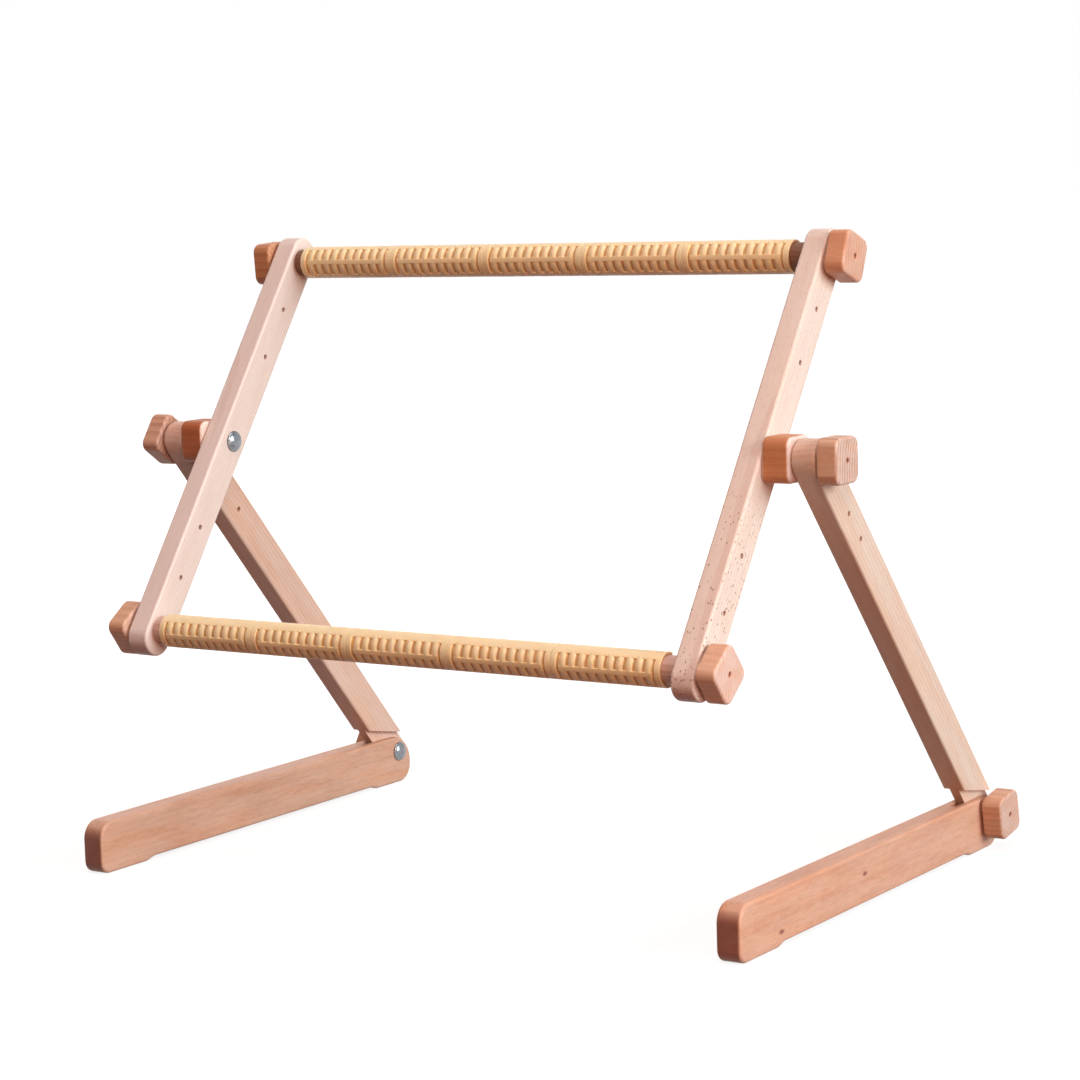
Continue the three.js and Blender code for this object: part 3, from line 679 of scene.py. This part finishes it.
for name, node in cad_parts.items():
    if name.endswith(("_stud", "_nut")):
        for place in node.material_slots:
            place.material = zinc

# ---- studio ----
# A floor of matt white paper under a white backdrop, with the stand's soft shadow. A large lamp far
# off at the right does most, helped by a weaker one overhead, two small warm ones in front at the
# right, and one at the back for the far side.
FLOOR_HALF = 30000
FLOOR_DROP = 0.2                   # under the feet's pads
floor_mesh = bmesh.new()
bmesh.ops.create_grid(floor_mesh, x_segments=1, y_segments=1, size=FLOOR_HALF)
floor = new_piece("floor", floor_mesh)
floor.location.z = -FLOOR_DROP * MM
# Matt white paper, white to the eye. What it throws back on the wood is warm, because shaded wood is
# warm in the photograph.
paper = bpy.data.materials.new("white_paper_floor")
paper.use_nodes = True
tree = paper.node_tree
tree.nodes.clear()
rays = add_node(tree, "LightPath").node.outputs
seen = add_node(tree, "Math", {0: rays["Is Camera Ray"], 1: rays["Is Glossy Ray"]}, operation="MAXIMUM")
seen = add_node(tree, "Math", {0: seen, 1: rays["Is Transmission Ray"]}, operation="MAXIMUM")
spot = add_node(tree, "TexCoord", out="Object")
away = add_node(tree, "VectorMath", {0: spot}, out="Value", operation="LENGTH")
glow = add_node(tree, "MapRange", {
    "Value": away, "From Min": 0.5, "From Max": 1.3, "To Min": 0.84, "To Max": 1.0})
glow = add_node(tree, "Emission", {"Color": linear("#ffffff"), "Strength": glow})
lit = add_node(tree, "BsdfDiffuse", {"Color": linear("#8c8c8c")})
white = add_node(tree, "AddShader", {0: lit, 1: glow})
warm = add_node(tree, "BsdfDiffuse", {"Color": linear("#623a2a")})
surface = add_node(tree, "MixShader", {0: seen, 1: warm, 2: white})
add_node(tree, "OutputMaterial", {0: surface})
floor.data.materials.append(paper)

world = bpy.data.worlds.new("studio")
bpy.context.scene.world = world
world.use_nodes = True
tree = world.node_tree
tree.nodes.clear()
rays = add_node(tree, "LightPath").node.outputs
seen = add_node(tree, "Math", {0: rays["Is Camera Ray"], 1: rays["Is Glossy Ray"]}, operation="MAXIMUM")
seen = add_node(tree, "Math", {0: seen, 1: rays["Is Transmission Ray"]}, operation="MAXIMUM")
fill = add_node(tree, "Background", {"Color": linear("#ffb48e"), "Strength": 0.07})
white = add_node(tree, "Background", {"Color": linear("#ffffff"), "Strength": 1.0})
surface = add_node(tree, "MixShader", {0: seen, 1: fill, 2: white})
add_node(tree, "OutputWorld", {0: surface})

# Each lamp: its place and size in metres, its watts and its tint.
LAMPS = {
    "key": ((18.0, 0.4, 5.7), 9.6, 3320, "#f1ffff"),
    "overhead": ((0.0, -1.3, 6.5), 4.5, 208, "#fff0ef"),
    "front": ((1.6, -1.9, 1.8), 1.0, 26, "#ffddc4"),
    "low": ((1.6, -1.2, 0.2), 1.0, 7.5, "#ffa078"),
    "back": ((-2.6, 3.0, 1.2), 1.5, 70, "#fff0e8"),
}
for name, (place, size, watts, tint) in LAMPS.items():
    lamp = bpy.data.lights.new(name, "AREA")
    lamp.shape, lamp.size, lamp.energy, lamp.color = "SQUARE", size, watts, linear(tint)[:3]
    shade = bpy.data.objects.new(name, lamp)
    bpy.context.scene.collection.objects.link(shade)
    shade.visible_glossy = name != "back"      # it would glare on the feet's tops
    aim = Vector((0, 0, 0.3)) - Vector(place)
    shade.matrix_world = Matrix.Translation(place) @ aim.to_track_quat("-Z", "Y").to_matrix().to_4x4()

# ---- camera ----
# It stands in front and to the right, about 2.7 m from the stand and a little above it, with a long
# lens, and leans by under two degrees as the photograph does.
CAMERA_PLACE = (1.48897, -2.20574, 0.62904)
CAMERA_YAW, CAMERA_PITCH, CAMERA_ROLL = radians(33.89), radians(-7.2), radians(-1.75)
lens = bpy.data.cameras.new("camera")
lens.lens, lens.sensor_width, lens.sensor_fit = 96.87, 36.0, "HORIZONTAL"
lens.shift_x, lens.shift_y = -0.00048, 0.00618
forward = Vector((-sin(CAMERA_YAW), cos(CAMERA_YAW), 0))
level = Vector((cos(CAMERA_YAW), sin(CAMERA_YAW), 0))
ahead = forward * cos(CAMERA_PITCH) + Vector((0, 0, sin(CAMERA_PITCH)))
upward = level.cross(ahead)
right = level * cos(CAMERA_ROLL) + upward * sin(CAMERA_ROLL)
top = upward * cos(CAMERA_ROLL) - level * sin(CAMERA_ROLL)
camera = bpy.data.objects.new("camera", lens)
bpy.context.scene.collection.objects.link(camera)
camera.matrix_world = Matrix.Translation(CAMERA_PLACE) @ Matrix((right, top, -ahead)).transposed().to_4x4()
bpy.context.scene.camera = camera
bpy.context.scene.view_settings.view_transform = "Standard"

bpy.context.view_layer.update()
